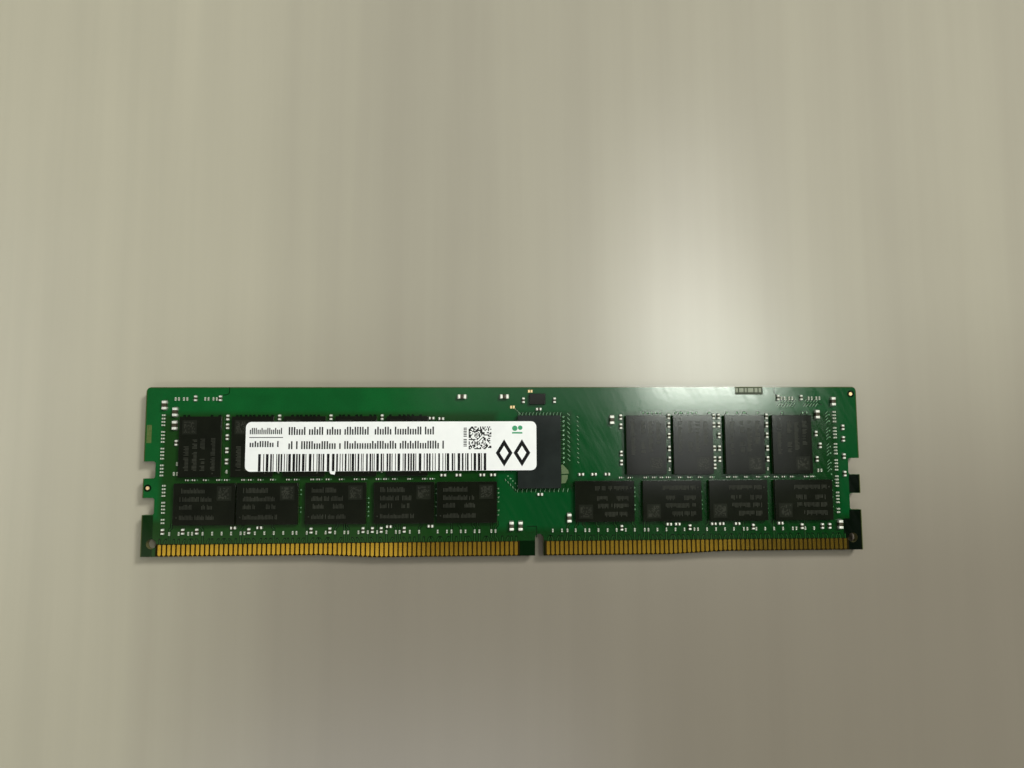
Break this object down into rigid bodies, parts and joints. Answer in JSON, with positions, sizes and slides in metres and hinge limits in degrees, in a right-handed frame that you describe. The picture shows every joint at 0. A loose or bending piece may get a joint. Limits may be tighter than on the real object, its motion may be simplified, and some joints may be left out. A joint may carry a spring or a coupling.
{
  "type": "memory module",
  "caption": "Registered memory module: a green edge card with gold contacts, black memory packages on both faces, a register and a blank-marked label.",
  "frame": {"origin": "under the middle of the card, on the surface its rear packages rest on", "axes": "+X along the card, +Y from the contact edge to the top edge, +Z out of the front face"},
  "size_m": [0.1334, 0.0312, 0.0037],
  "materials": {
    "laminate": "woven glass-epoxy, matt at the sawn edges",
    "solder_mask": "semi-gloss green solder mask",
    "gold_plating": "hard gold on nickel, satin",
    "mould_compound": "black moulding compound, fine matt",
    "register_mould": "dark grey moulding compound, fine matt",
    "package_substrate": "dark green package substrate",
    "solder": "lead-free solder, slightly dull",
    "tin_plating": "matt tin",
    "capacitor_ceramic": "fired brown ceramic",
    "resistor_glaze": "dark glass overglaze",
    "legend_ink": "white epoxy ink",
    "label_paper": "white synthetic paper, satin"
  },
  "bodies": {
    "root": {"pcb_laminate": "laminate", "solder_mask_front": "solder_mask", "solder_mask_back": "solder_mask", "contacts_front": "gold_plating", "contacts_back": "gold_plating", "dram_front_01": "mould_compound", "dram_front_02": "mould_compound", "dram_front_03": "mould_compound", "dram_front_04": "mould_compound", "dram_front_05": "mould_compound", "dram_front_06": "mould_compound", "dram_front_07": "mould_compound", "dram_front_08": "mould_compound", "dram_front_09": "mould_compound", "dram_front_10": "mould_compound", "dram_front_11": "mould_compound", "dram_front_12": "mould_compound", "dram_front_13": "mould_compound", "dram_front_14": "mould_compound", "dram_front_15": "mould_compound", "dram_front_16": "mould_compound", "dram_front_17": "mould_compound", "dram_front_18": "mould_compound", "dram_back_01": "mould_compound", "dram_back_02": "mould_compound", "dram_back_03": "mould_compound", "dram_back_04": "mould_compound", "dram_back_05": "mould_compound", "dram_back_06": "mould_compound", "dram_back_07": "mould_compound", "dram_back_08": "mould_compound", "dram_back_09": "mould_compound", "dram_back_10": "mould_compound", "dram_back_11": "mould_compound", "dram_back_12": "mould_compound", "dram_back_13": "mould_compound", "dram_back_14": "mould_compound", "dram_back_15": "mould_compound", "dram_back_16": "mould_compound", "dram_back_17": "mould_compound", "dram_back_18": "mould_compound", "dram_substrates_front": "package_substrate", "dram_substrates_back": "package_substrate", "dram_balls_front": "solder", "dram_balls_back": "solder", "register_driver": "register_mould", "register_substrate": "package_substrate", "register_balls": "solder", "spd_sensor": "mould_compound", "spd_pads": "tin_plating", "capacitors_large": "capacitor_ceramic", "capacitors_medium": "capacitor_ceramic", "capacitors_small": "capacitor_ceramic", "resistors": "resistor_glaze", "capacitor_terminals": "tin_plating", "resistor_terminals": "tin_plating", "bare_pads": "gold_plating", "legend_ink": "legend_ink", "label": "label_paper"}
  },
  "joints": []
}
